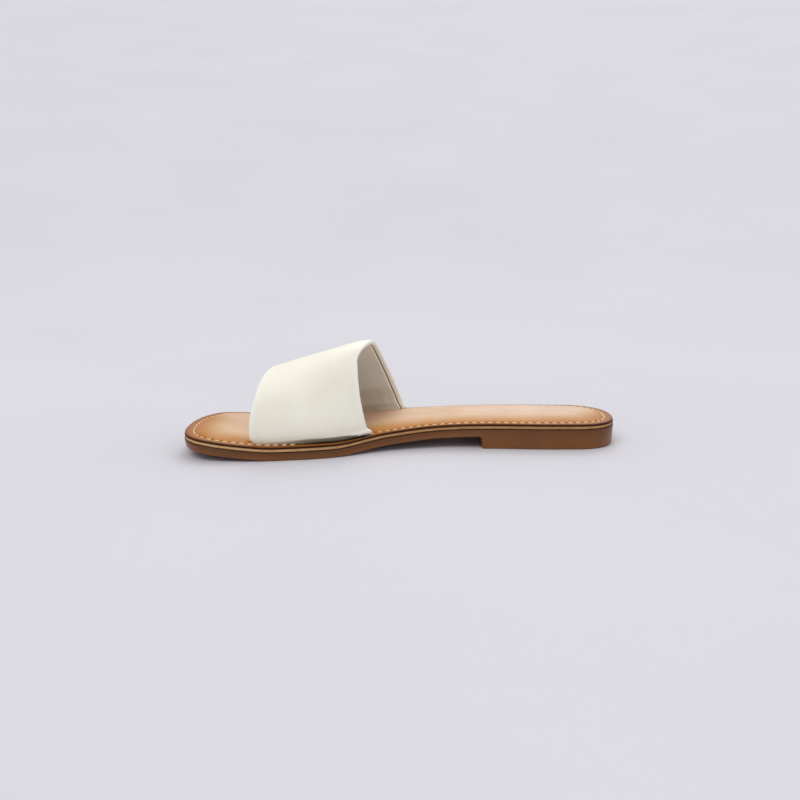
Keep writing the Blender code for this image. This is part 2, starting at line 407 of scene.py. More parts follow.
def across(name, x):
    return smooth(length_angle(SECTIONS["from_toe"] - LENGTH / 2), SECTIONS[name], length_angle(x))


def along(name, x):
    return read_table(SECTIONS, name, np.asarray(x, float) + LENGTH / 2, level=True)


def width_shift():
    """Moves the sole so that the middle of its width is at y = 0."""
    x = np.linspace(-LENGTH / 2, LENGTH / 2, OUTLINE_SAMPLES)
    medial = across("centre", x) - across("half_width", x)
    lateral = across("centre", x) + across("half_width", x)
    return -(medial.min() + lateral.max()) / 2


WIDTH_SHIFT = width_shift()


def edge_y(x, side):
    """The sole's outline on one side: -1 is medial, +1 lateral."""
    return WIDTH_SHIFT + across("centre", x) + side * across("half_width", x)


def insole_bottom(x):
    return along("feather_height", x) + CLEARANCE / 2


def insole_top(x):
    return insole_bottom(x) + INSOLE_THICKNESS


def midsole_top(x):
    return along("feather_height", x) - CLEARANCE / 2


def midsole_bottom(x):
    return along("feather_height", x) - MIDSOLE_THICKNESS + CLEARANCE / 2


def outsole_top(x):
    return midsole_bottom(x) - CLEARANCE


BREAST = HEEL_BREAST_FROM_TOE - LENGTH / 2


def outsole_bottom(x):
    """The underside: toe spring, ball, arch, a filleted heel breast and the flat of the heel."""
    x = np.asarray(x, float)
    arch = np.maximum(along("feather_height", x) - MIDSOLE_THICKNESS - along("outsole_thickness", x), 0.0)
    into_hollow = np.clip(x - BREAST + BREAST_HOLLOW_RADIUS, 0.0, BREAST_HOLLOW_RADIUS)
    hollow = BREAST_HOLLOW_RADIUS - np.sqrt(BREAST_HOLLOW_RADIUS**2 - into_hollow**2)
    left_of_edge = np.clip(BREAST_EDGE_RADIUS + BREAST + BREAST_FACE_RUN - x, 0.0, BREAST_EDGE_RADIUS)
    edge = BREAST_EDGE_RADIUS - np.sqrt(BREAST_EDGE_RADIUS**2 - left_of_edge**2)
    share = np.clip((x - BREAST) / BREAST_FACE_RUN, 0.0, 1.0)
    face = (arch - hollow) * (1.0 - share) + edge * share
    return np.where(x < BREAST, np.where(arch > 0.0, arch - hollow, 0.0), np.where(share < 1.0, face, edge))


def even_places():
    """Places along the sole, close together at its ends."""
    return -LENGTH / 2 * np.cos(np.linspace(0.0, np.pi, SOLE_STATIONS + 1))


def breast_places():
    """Places that draw the heel breast's hollow, face and rounded edge."""
    angles = np.linspace(0.0, np.pi / 2, BREAST_ARC_STEPS + 1)
    hollow = BREAST + BREAST_HOLLOW_RADIUS * (np.sin(angles) - 1.0)
    edge = BREAST + BREAST_FACE_RUN + BREAST_EDGE_RADIUS * (1.0 - np.cos(angles))
    return np.concatenate([hollow, edge])


def groove_centres():
    fields = [np.arange(field["first"], field["last"], GROOVE_PITCH) for field in TREAD_FIELDS]
    return np.concatenate(fields) - LENGTH / 2


def groove_places():
    offsets = GROOVE_HALF_WIDTH * np.array(GROOVE_SHARES)
    return (groove_centres()[:, None] + offsets).ravel()


def merged_places(fixed, filler, spacing):
    """The fixed places, with fillers wherever no fixed place is near."""
    gaps = np.abs(filler[:, None] - fixed[None, :]).min(axis=1)
    return np.sort(np.concatenate([fixed, filler[gaps > spacing]]))


def headings(points):
    """The directions in which a closed loop runs at each of its points."""
    chords = np.roll(points, -1, axis=0) - np.roll(points, 1, axis=0)
    return chords / np.linalg.norm(chords, axis=1)[:, None]


def sole_outline(places):
    """The outline as a closed loop, toe, medial side, heel, lateral side, with its outward directions."""
    back = places[-2:0:-1]
    x = np.concatenate([places, back])
    y = np.concatenate([edge_y(places, -1), edge_y(back, 1)])
    points = np.stack([x, y], axis=1)
    ahead = headings(points)
    return points, np.stack([ahead[:, 1], -ahead[:, 0]], axis=1)


def run_along(line):
    """How far along an open line each of its points is."""
    return np.concatenate([[0.0], np.cumsum(np.linalg.norm(np.diff(line, axis=0), axis=1))])


def side_rings(places, bottom, top, profile):
    """One loop of points round the sole for each row of a side profile."""
    points, outward = sole_outline(places)
    low = bottom(points[:, 0])
    thickness = top(points[:, 0]) - low
    rings = []
    for share, added, inset in profile:
        flat = points - inset * outward
        height = low + share * thickness + added
        rings.append(np.column_stack([flat, height]))
    return rings


def new_object(name, data):
    made = bpy.data.objects.new(name, data)
    bpy.context.scene.collection.objects.link(made)
    return made


class Shape:
    """Points and faces of one piece, gathered before its mesh is made."""

    def __init__(self):
        self.points = []
        self.faces = []
        self.values = {}

    def add(self, points):
        """Adds points and returns their numbers, in the same layout."""
        points = np.asarray(points, float)
        first = len(self.points)
        flat = points.reshape(-1, 3)
        self.points.extend(flat.tolist())
        return np.arange(first, first + len(flat)).reshape(points.shape[:-1])

    def value(self, name, numbers, amounts):
        """Keeps an amount for each numbered point, which the material reads by name."""
        amounts = np.broadcast_to(amounts, numbers.shape)
        self.values.setdefault(name, {}).update(zip(numbers.ravel().tolist(), amounts.ravel().tolist()))

    def skin(self, numbers, around=False, flip=False):
        """Faces over a grid of point numbers, closed in its second direction if around is set."""
        ahead = np.roll(numbers, -1, axis=1) if around else numbers[:, 1:]
        here = numbers if around else numbers[:, :-1]
        cells = np.stack([here[:-1], here[1:], ahead[1:], ahead[:-1]], axis=-1).reshape(-1, 4)
        for cell in cells.tolist():
            corners = list(dict.fromkeys(cell))
            if len(corners) > 2:
                self.faces.append(corners[::-1] if flip else corners)

    def lid(self, numbers, flip=False):
        """One face over a loop of point numbers."""
        corners = numbers.ravel().tolist()
        self.faces.append(corners[::-1] if flip else corners)

    def tube(self, rows):
        """Rows of points skinned into a tube, with a lid at each end; returns their numbers."""
        numbers = self.add(rows)
        self.skin(numbers, around=True)
        self.lid(numbers[0])
        self.lid(numbers[-1], flip=True)
        return numbers

    def solid(self, name, finish):
        """The mesh as an object of the scene."""
        mesh = bpy.data.meshes.new(name)
        mesh.from_pydata((np.array(self.points) * MM).tolist(), [], self.faces)
        for label, amounts in self.values.items():
            layer = mesh.attributes.new(label, "FLOAT", "POINT")
            layer.data.foreach_set("value", [amounts.get(i, 0.0) for i in range(len(self.points))])
        mesh.shade_smooth()
        mesh.materials.append(finish)
        return new_object(name, mesh)

    def make(self, name, finish, replaced=None):
        """Makes a piece, which rides on the part's body and may stand in for one of its nodes."""
        made = self.solid(name, finish)
        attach(made, BODY)
        if replaced:
            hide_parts(replaced)
        return made


def opposite_sides(ring):
    """A ring's points as two rows from toe to heel, medial then lateral, sharing both tips."""
    count = len(ring)
    half = count // 2
    medial = ring[: half + 1]
    lateral = ring[(count - np.arange(half + 1)) % count]
    return medial, lateral


def cap_numbers(shape, ring_numbers, inner_points):
    """The point numbers of a cap that spans a ring: the ring's two sides with inner points between them."""
    medial, lateral = opposite_sides(ring_numbers)
    inner = shape.add(inner_points)
    body = np.concatenate([medial[1:-1, None], inner, lateral[1:-1, None]], axis=1)
    tips = [np.full((1, body.shape[1]), tip) for tip in (medial[0], medial[-1])]
    return np.concatenate([tips[0], body, tips[1]], axis=0)


def plain_cap(shape, ring_numbers, ring, flip=False):
    """Closes a ring with a cap that has one row of points down its middle."""
    middle = across_ring(ring, 2)[0]
    shape.skin(cap_numbers(shape, ring_numbers, middle), flip=flip)


def across_ring(ring, columns):
    """Points between a ring's two sides, without its tips, and where each is from -1 medial to +1 lateral."""
    medial, lateral = opposite_sides(ring)
    place = np.linspace(-1.0, 1.0, columns + 1)[1:-1]
    weight = (place + 1.0)[None, :, None] / 2.0
    return medial[1:-1, None] * (1.0 - weight) + lateral[1:-1, None] * weight, place


# Sole

def tread_bow(x):
    """How far a groove's middle runs ahead of its ends."""
    total = np.zeros_like(x)
    for field in TREAD_FIELDS:
        share = (x + LENGTH / 2 - field["bow_start"]) / (field["bow_end"] - field["bow_start"])
        total += field["bow"] * np.sin(np.pi * np.clip(share, 0.0, 1.0))
    return total


def groove_depth(x):
    near = np.abs(x[:, None] - groove_centres()[None, :]).min(axis=1)
    return GROOVE_DEPTH * np.cos(np.pi / 2 * np.clip(near / GROOVE_HALF_WIDTH, 0.0, 1.0)) ** 2


def tread_points(ring):
    """The underside's inner points, with curved grooves that stop short of a plain border."""
    inner, place = across_ring(ring, TREAD_COLUMNS)
    medial, lateral = opposite_sides(ring)
    width = np.linalg.norm(lateral - medial, axis=1)[1:-1, None]
    from_edge = np.minimum(place + 1.0, 1.0 - place)[None, :] * width / 2.0
    station = inner[:, 0, 0]
    field = soft_step(TREAD_BORDER, TREAD_BORDER + TREAD_BORDER_BLEND, from_edge)
    inner[:, :, 0] -= tread_bow(station)[:, None] * (1.0 - place**2)[None, :]
    inner[:, :, 2] = outsole_bottom(inner[:, :, 0]) + groove_depth(station)[:, None] * field
    return inner


def side_levels(profile):
    """1 at a side profile's top row, 0 at its lowest, in even steps."""
    return np.linspace(1.0, 0.0, len(profile))[:, None]


def make_outsole(finish):
    places = np.concatenate([breast_places(), groove_places()])
    places = merged_places(places, even_places(), STATION_SPACING)
    shape = Shape()
    rings = side_rings(places, outsole_bottom, outsole_top, OUTSOLE_PROFILE)
    numbers = shape.add(np.array(rings))
    shape.value("top", numbers, side_levels(OUTSOLE_PROFILE))
    shape.skin(numbers, around=True)
    plain_cap(shape, numbers[0], rings[0])
    shape.skin(cap_numbers(shape, numbers[-1], tread_points(rings[-1])), flip=True)
    shape.make("outsole_unit", finish, "outsole")


def edge_waver(points):
    """How far the midsole's cut edge stands out at each point of the outline."""
    run = run_along(np.concatenate([points, points[:1]]))
    turn = 2.0 * np.pi * run[:-1] / run[-1]
    return sum(amount * np.sin(waves * turn + start) for amount, waves, start in WAVER_ROWS)


def make_midsole(finish):
    """The board, whose cut edge wavers a little."""
    places = even_places()
    points, outward = sole_outline(places)
    shape = Shape()
    rings = np.array(side_rings(places, midsole_bottom, midsole_top, MIDSOLE_PROFILE))
    rings[:, :, :2] += (edge_waver(points)[:, None] * outward)[None]
    numbers = shape.add(rings)
    shape.value("top", numbers, side_levels(MIDSOLE_PROFILE))
    shape.value("heelward", numbers, soft_step(*MIDSOLE_DARKENING, rings[..., 0]))
    shape.skin(numbers, around=True)
    plain_cap(shape, numbers[0], rings[0])
    plain_cap(shape, numbers[-1], rings[-1], flip=True)
    shape.make("midsole_board", finish, "midsole")


# Insole

def padding_relief(inset):
    """Height of the top at a distance inside the edge: falling margin, stitch groove, rising padding."""
    margin = np.clip(inset / STITCH_INSET, 0.0, 1.0)
    groove = STITCH_GROOVE_DEPTH * np.exp(-(((inset - STITCH_INSET) / STITCH_GROOVE_HALF_WIDTH) ** 2))
    rise = 1.0 - np.exp(-np.maximum(inset - STITCH_INSET, 0.0) / PADDING_RUN)
    return PADDING_RISE * rise - groove - between(MARGIN_DROP_AT_EDGE, MARGIN_DROP_AT_STITCH, margin)


def slit_share(inset, x, side):
    """1 inside a slit, 0 outside it."""
    front, rear = band_edges(0.0 if side < 0 else 1.0)
    start, end = front - SLIT_OVERRUN, rear + SLIT_OVERRUN
    lengthwise = soft_step(start - SLIT_END_BLEND, start, x) * (1.0 - soft_step(end, end + SLIT_END_BLEND, x))
    outer = soft_step(SLIT_OUTER_INSET - SLIT_BLEND, SLIT_OUTER_INSET, inset)
    inner = 1.0 - soft_step(SLIT_INNER_INSET, SLIT_INNER_INSET + SLIT_BLEND, inset)
    return lengthwise * outer * inner


def insole_edge_rows():
    """The rounded edge from the underside up: inset, and height over the underside."""
    rows = [(INSOLE_EDGE_INSET + beyond, height) for beyond, height in INSOLE_RIM_ROWS]
    top = INSOLE_THICKNESS + padding_relief(INSOLE_EDGE_INSET + INSOLE_EDGE_RADIUS)
    start = top - INSOLE_EDGE_RADIUS
    for angle in np.linspace(0.0, np.pi / 2, INSOLE_EDGE_STEPS + 1)[:-1]:
        inset = INSOLE_EDGE_INSET + INSOLE_EDGE_RADIUS * (1.0 - np.cos(angle))
        rows.append((inset, start + INSOLE_EDGE_RADIUS * np.sin(angle)))
    return rows


def stitch_inset(x):
    return read_table(STITCH_LINE, "inset", np.asarray(x, float) + LENGTH / 2, level=True)


def scaled_inset(inset, x):
    """A distance inside the edge, drawn in or out with the stitch row as it runs along the sole."""
    stretch = (stitch_inset(x) - INSOLE_EDGE_INSET) / (STITCH_INSET - INSOLE_EDGE_INSET)
    return INSOLE_EDGE_INSET + (inset - INSOLE_EDGE_INSET) * stretch


def insole_top_ring(points, outward, inset, medial):
    real_inset = scaled_inset(inset, points[:, 0])
    flat = points - real_inset[:, None] * outward
    relief = padding_relief(inset)
    slit = np.where(medial, slit_share(real_inset, flat[:, 0], -1), slit_share(real_inset, flat[:, 0], 1))
    relief = relief * (1.0 - slit) + SLIT_FLOOR * slit
    return np.column_stack([flat, insole_top(points[:, 0]) + relief])


def insole_middle(ring):
    """The padded middle: a low crown that fades out towards both tips."""
    inner, place = across_ring(ring, INSOLE_COLUMNS)
    x = inner[:, 0, 0]
    ends = 1.0 - np.exp(-np.minimum(x - ring[:, 0].min(), ring[:, 0].max() - x) / PADDING_END_RUN)
    width = np.linalg.norm(inner[:, -1] - inner[:, 0], axis=1) / PADDING_FULL_WIDTH
    crown = PADDING_CROWN * np.minimum(width, 1.0) * ends
    inner[:, :, 2] += crown[:, None] * (1.0 - place**2)[None, :]
    return inner


def foot_shadow(x, inset, medial):
    """1 where the band's medial foot keeps the light off the margin, 0 elsewhere."""
    front, rear = band_edges(0.0)
    shares = FOOT_SHADOW["share"]
    at = (x - front) / (rear - front)
    dark = np.interp(at, shares, FOOT_SHADOW["dark"])
    start = np.interp(at, shares, FOOT_SHADOW["start_inset"])
    full = np.interp(at, shares, FOOT_SHADOW["full_inset"])
    outside = 1.0 - soft_step(SLIT_OUTER_INSET, SLIT_OUTER_INSET + SHADOW_END_RUN, inset)
    return medial * outside * dark * soft_step(start, full, inset)


def painted_heel_sheen(points, inset):
    """How much a painted sheen pales the padding, growing towards the heel and away from its medial edge."""
    spread = soft_step(*HEEL_PALE_X, points[..., 0]) * soft_step(*HEEL_PALE_Y, points[..., 1])
    return spread * soft_step(*HEEL_PALE_INSET, inset)


def tone_inset(points, inset):
    """The inset by which the leather is toned: lateral margin darker, the padding beside it sooner pale, a
    painted sheen.
    """
    lateral = soft_step(*LATERAL_TONE_Y, points[..., 1])
    on_margin = 1.0 - soft_step(*LATERAL_MARGIN_END, inset)
    toned = inset * (1.0 - LATERAL_MARGIN_DARKNESS * lateral * on_margin)
    # Painted sheen: the lateral padding pales sooner
    return toned + LATERAL_PALE_SHIFT * lateral * soft_step(*LATERAL_PALE_INSET, inset)


def plan_distance(points, ring):
    """How far each point is from the nearest point of a ring, seen from above."""
    apart = points[..., None, :2] - ring[:, :2]
    return np.linalg.norm(apart, axis=-1).min(axis=-1)


def insole_rings():
    """Rings of points from the underside's rim over the edge to the padding, their insets and shadows."""
    points, outward = sole_outline(even_places())
    medial = np.arange(len(points)) <= len(points) // 2
    rings = []
    insets = []
    shadows = []
    for inset, height in insole_edge_rows():
        flat = points - inset * outward
        rings.append(np.column_stack([flat, insole_bottom(points[:, 0]) + height]))
        # The edge is toned by its height: dark at its foot, partly burnish and partly painted shade of the
        # gap over the midsole
        insets.append(min(height, EDGE_TONE_LIMIT))
        shadows.append((height > SHADOW_EDGE_HEIGHT) * foot_shadow(points[:, 0], inset, medial))
    for inset in np.concatenate([np.linspace(*row) for row in INSOLE_RING_ROWS]):
        rings.append(insole_top_ring(points, outward, inset, medial))
        insets.append(inset)
        shadows.append(foot_shadow(rings[-1][:, 0], inset, medial))
    return np.array(rings), np.array(insets)[:, None], np.array(shadows)


def make_insole(finish):
    shape = Shape()
    rings, insets, shadows = insole_rings()
    numbers = shape.add(rings)
    shape.value("inset", numbers, tone_inset(rings, insets))
    shape.value("shadow", numbers, shadows)
    shape.value("heel", numbers, painted_heel_sheen(rings, insets))
    shape.skin(numbers, around=True, flip=True)
    inner = insole_middle(rings[-1])
    middle = cap_numbers(shape, numbers[-1], inner)
    depth = INSOLE_INNER_INSET + plan_distance(inner, rings[-1])
    shape.value("inset", middle[1:-1, 1:-1], tone_inset(inner, depth))
    shape.value("heel", middle[1:-1, 1:-1], painted_heel_sheen(inner, depth))
    shape.skin(middle)
    plain_cap(shape, numbers[0], rings[0], flip=True)
    made = shape.make("insole_padded", finish, "insole")


def stitch_path():
    """The stitch row's points and directions, one every pitch round the insole."""
    points, outward = sole_outline(even_places())
    row = points - stitch_inset(points[:, 0])[:, None] * outward
    closed = np.concatenate([row, row[:1]])
    run = run_along(closed)
    count = round(run[-1] / STITCH_PITCH)
    at = (np.arange(count) + 0.5) * run[-1] / count
    middle = np.stack([np.interp(at, run, closed[:, axis]) for axis in (0, 1)], axis=1)
    return middle, headings(middle)


def under_band(place):
    """Whether the band's tucked foot lies over a place of the stitch row."""
    front, rear = band_edges(0.0)
    return place[1] < 0.0 and between(front, rear, COVER_START) < place[0] < rear


def stitch_points(middle, heading, slant, length):
    """One arched stitch of twisted thread, its ends pulled down into the groove."""
    u = np.linspace(-1.0, 1.0, STITCH_SECTIONS)[:, None]
    angles = np.linspace(0.0, 2.0 * np.pi, STITCH_SIDES, endpoint=False)[None, :]
    turn = np.array([[np.cos(slant), -np.sin(slant)], [np.sin(slant), np.cos(slant)]])
    ahead = turn @ heading
    aside = np.array([-ahead[1], ahead[0]])
    plies = 1.0 + PLY_RELIEF * np.cos(THREAD_PLIES * (angles - PLY_TWIST * np.pi * u))
    thickness = plies * (1.0 - THREAD_TAPER * np.abs(u) ** TAPER_SHARPNESS)
    wide = THREAD_HALF_WIDTH * thickness * np.cos(angles)
    high = THREAD_HALF_HEIGHT * thickness * np.sin(angles)
    flat = middle + (u * length / 2.0)[..., None] * ahead + wide[..., None] * aside
    arch = (THREAD_SEAT + THREAD_HALF_HEIGHT) * (1.0 - np.abs(u) ** ARCH_SHARPNESS) - THREAD_HALF_HEIGHT
    z = insole_top(flat[..., 0]) + padding_relief(STITCH_INSET) + arch + high
    return np.concatenate([flat, z[..., None]], axis=-1)


def make_stitches(finish):
    """Stitches round the insole, each a little different, without those that the band covers."""
    chance = np.random.default_rng(STITCH_SEED)
    shape = Shape()
    for middle, heading in zip(*stitch_path()):
        slant = np.radians(STITCH_SLANT + chance.normal(0.0, STITCH_SLANT_SPREAD))
        length = STITCH_LENGTH * (1.0 + chance.normal(0.0, STITCH_LENGTH_SPREAD))
        if not under_band(middle):
            shape.tube(stitch_points(middle, heading, slant, length))
    shape.make("insole_stitches", finish)


# Band

def hoop_size(name, share):
    return between(HOOP_FRONT[name], HOOP_REAR[name], share)


def crown_height(share):
    """The crown's height over the floor, falling away near the rear edge."""
    past = np.maximum(share - DROOP_START, 0.0) / (1.0 - DROOP_START)
    return hoop_size("crown", share) - DROOP * past**2


def slit_line(x, side):
    """The middle of a slit, a set distance inside the sole's outline."""
    reach = 1.0
    slope = (edge_y(x + reach, side) - edge_y(x - reach, side)) / (2.0 * reach)
    return edge_y(x, side) - side * SLIT_INSET * np.hypot(1.0, slope)


def band_edges(girth):
    """Where along the foot the band's front and rear edges are at a share of its girth."""
    front = read_table(BAND_EDGES, "front_from_toe", girth)
    rear = read_table(BAND_EDGES, "rear_from_toe", girth)
    return front - LENGTH / 2, rear - LENGTH / 2


def foot_size(name, share):
    return read_table(BAND_FOOT, name, share, level=True)


def foot_swell(inner_half, share, height):
    """How far a wall stands out at a height over the insole: tucked under, folded, then fading upwards."""
    tuck = np.where(inner_half, foot_size("medial_tuck", share), foot_size("lateral_tuck", share))
    reach = np.where(inner_half, foot_size("medial_reach", share), 0.0)
    rise = height / foot_size("fold_height", share)
    fold = rise / (1.0 + rise**FOLD_SHARPNESS) ** (1.0 / FOLD_SHARPNESS)
    return (reach + tuck * fold) * np.exp(-((height / SWELL_FADE) ** 2))


def on_medial_half(girth):
    return girth < CROWN_GIRTH


def hoop_power(girth):
    return 2.0 / np.where(on_medial_half(girth), MEDIAL_SQUARENESS, LATERAL_SQUARENESS)


def band_floor(share):
    """Height of the insole under the band's middle, and how much higher it is on the lateral side."""
    medial = insole_top(between(*band_edges(0.0), share))
    lateral = insole_top(between(*band_edges(1.0), share))
    return (medial + lateral) / 2.0, (lateral - medial) / 2.0


def band_rise(girth):
    return np.maximum(np.sin(np.pi * girth), 0.0) ** hoop_power(girth)


def band_height(girth, share):
    """How high a point of the band's middle surface is over the insole."""
    return band_rise(girth) * (crown_height(share) - band_floor(share)[0])


def band_middle(girth, share):
    """Points of the band's middle surface; share runs from its front edge to its rear edge."""
    girth, share = np.broadcast_arrays(np.asarray(girth, float), np.asarray(share, float))
    medial_x = between(*band_edges(0.0), share)
    lateral_x = between(*band_edges(1.0), share)
    medial_y, lateral_y = slit_line(medial_x, -1), slit_line(lateral_x, 1)
    floor, tilt = band_floor(share)
    inner_half = on_medial_half(girth)
    turn = np.pi * girth
    sideways = -np.sign(np.cos(turn)) * np.abs(np.cos(turn)) ** hoop_power(girth)
    rise = band_rise(girth)
    height = band_height(girth, share)
    y = (medial_y + lateral_y) / 2.0 + sideways * (lateral_y - medial_y) / 2.0
    y = y + rise * hoop_size("lean", share) + sideways * foot_swell(inner_half, share, height)
    front, rear = band_edges(girth)
    front = front + FRONT_CORNER * np.exp(-((height / FRONT_CORNER_HEIGHT) ** 2))
    point = np.where(inner_half, REAR_CORNER["medial"], REAR_CORNER["lateral"])
    rise_share = height / REAR_CORNER_HEIGHT
    rear = rear + point * rise_share * np.exp((1.0 - rise_share**2) / 2.0)
    return np.stack([between(front, rear, share), y, floor + sideways * tilt + height], axis=-1)


def band_outward(girth, share):
    """Directions that point out of the band's middle surface."""
    reach = 1e-4
    low, high = np.clip(girth - reach, 0.0, 1.0), np.clip(girth + reach, 0.0, 1.0)
    over = band_middle(high, share) - band_middle(low, share)
    back = band_middle(girth, share + reach) - band_middle(girth, share - reach)
    out = np.cross(over, back)
    return -out / np.linalg.norm(out, axis=-1, keepdims=True)


def girth_places():
    """Shares of the girth for the band's rows, close together at both feet and even over the foot."""
    fine = np.linspace(0.0, 1.0, GIRTH_SAMPLES)
    run = run_along(band_middle(fine, WIDTH_MIDDLE))
    foot = np.array(BAND_FOOT_ROWS)
    steps = round((run[-1] - 2.0 * foot[-1]) / BAND_ROW_SPACING)
    middle = np.linspace(foot[-1], run[-1] - foot[-1], steps + 1)[1:-1]
    return np.interp(np.concatenate([foot, middle, run[-1] - foot[::-1]]), run, fine)


def crease_height(creases, girth, share, girth_length, width):
    """Soft troughs with a low ridge along each side."""
    total = np.zeros(np.broadcast(girth, share).shape)
    for row in creases:
        crease = dict(zip(CREASE_COLUMNS, row))
        over = (girth - crease["girth"]) * girth_length
        back = (share - crease["share"]) * width
        angle = np.radians(crease["angle"])
        lengthwise = (over * np.cos(angle) + back * np.sin(angle)) / crease["half_length"]
        sideways = (back * np.cos(angle) - over * np.sin(angle)) / crease["half_width"]
        trough = (1.0 - CREASE_SIDE_RIDGE * sideways**2) * np.exp(-(sideways**2))
        total -= crease["depth"] * trough * np.exp(-(lengthwise**2))
    return total


def turned_edge():
    """A turned edge, from the outer face round to the lining's seat: distance from the edge, and offset."""
    half = BAND_THICKNESS / 2
    seam = half + TURNING_WIDTH
    turn = np.linspace(np.pi / 2, -np.pi / 2, BAND_EDGE_STEPS + 1)
    roll = [(half - half * np.cos(angle), half * np.sin(angle)) for angle in turn]
    turning = [(half + TURNING_WIDTH * share, -half) for share in TURNING_SHARES]
    step = [(seam + run, rise - half) for run, rise in SEAM_STEP_ROWS]
    return roll + turning + step + [(SEAT_INSET, LINING_SEAT)]


def face_rows(inset, places, offset):
    """Loop points at shares of the way from an inset at the front edge to the same inset at the rear edge."""
    return [(place, inset * (1.0 - 2.0 * place), offset) for place in places]


def edge_rows(end, edge):
    """Loop points of the front edge, where end is 0, or the rear edge, where it is 1."""
    return [(end, gap * (1 - 2 * end), offset) for gap, offset in edge]


def leather_loop():
    """The leather's cut-through as a closed loop: share of the width, distance added to it, and offset."""
    half = BAND_THICKNESS / 2
    edge = turned_edge()
    face = np.linspace(0.0, 1.0, BAND_FACE_COLUMNS + 1)[1:-1]
    seat = np.linspace(1.0, 0.0, LINING_COLUMNS + 1)[1:-1]
    outer = face_rows(half, face, half)
    return outer + edge_rows(1, edge) + face_rows(SEAT_INSET, seat, LINING_SEAT) + edge_rows(0, edge[::-1])


def lining_loop():
    """The same for the lining: its face, its two rounded edges and its hidden back."""
    radius = LINING_EDGE_RADIUS
    cut = LINING_EDGE_CUT * radius
    edge = [
        (LINING_INSET, LINING_BACK),
        (LINING_INSET, LINING_FACE + radius),
        (LINING_INSET + cut, LINING_FACE + cut),
    ]
    face = np.linspace(0.0, 1.0, LINING_COLUMNS + 1)
    inner = face_rows(LINING_INSET + radius, face, LINING_FACE)
    back = face_rows(LINING_INSET, face[-2:0:-1], LINING_BACK)
    return edge_rows(0, edge) + inner + edge_rows(1, edge[::-1]) + back


def band_width(girth):
    """The band's width from edge to edge along each row."""
    line = band_middle(girth[:, None], np.linspace(0.0, 1.0, WIDTH_SAMPLES)[None, :])
    return np.linalg.norm(np.diff(line, axis=1), axis=2).sum(axis=1)


def band_amounts(girth, share, width, offset):
    """What the band's materials read, for each of its points."""
    height = band_height(girth, share)
    into_shade = height / foot_size("shade_height", share)
    seen = np.where(on_medial_half(girth), 1.0, LATERAL_SHADE)
    rim = np.minimum(share, 1.0 - share) * width
    inside = (offset < 0.0) * (rim > BAND_THICKNESS / 2)
    # Among these amounts are painted light and shade: the seam gap's shade, the shade and crevice shade under
    # the tucked foot, and the lining's warm bounce near its foot
    return {
        "rim": rim,
        "seam": inside * soft_step(LINING_SEAT - SEAM_FADE, LINING_SEAT, offset),
        "shade": seen * foot_size("shade", share) * (1.0 - soft_step(*SHADE_FADE, into_shade)),
        "crevice_shade": seen * soft_step(*CREVICE_START, share) * (1.0 - soft_step(*CREVICE_FADE, into_shade)),
        "rearward": share,
        "low": 1.0 - soft_step(*LOW_FADE, height),
    }


def band_rows(loop, foot_drop, face, creases):
    """Rows of points over the foot, with a foot row added at each end, and the amounts for their material."""
    places = girth_places()
    girth = places[:, None]
    width = band_width(places)[:, None]
    share, gap, offset = np.array(loop).T
    share = share + gap / width
    length = run_along(band_middle(places, WIDTH_MIDDLE))[-1]
    height = crease_height(creases, girth, share, length, width)
    offset = offset + np.sign(face) * height * soft_step(*CREASE_FADE, offset / face)
    rows = band_middle(girth, share) + offset[..., None] * band_outward(girth, share)
    drop = np.array([0.0, 0.0, foot_drop])
    rows = np.concatenate([rows[:1] - drop, rows, rows[-1:] - drop])
    amounts = band_amounts(girth, share, width, offset)
    return rows, {name: np.pad(amount, ((1, 1), (0, 0)), mode="edge") for name, amount in amounts.items()}


def make_band_piece(name, loop, foot_drop, face, creases, finish, replaced=None):
    rows, amounts = band_rows(loop, foot_drop, face, creases)
    shape = Shape()
    numbers = shape.tube(rows)
    for label, amount in amounts.items():
        shape.value(label, numbers, amount)
    shape.make(name, finish, replaced)


# Materials

def tone(red, green, blue):
    """A colour given as screen values from 0 to 255, in linear light."""
    shares = [c / 255.0 for c in (red, green, blue)]
    return tuple(c / 12.92 if c <= 0.04045 else ((c + 0.055) / 1.055) ** 2.4 for c in shares) + (1.0,)


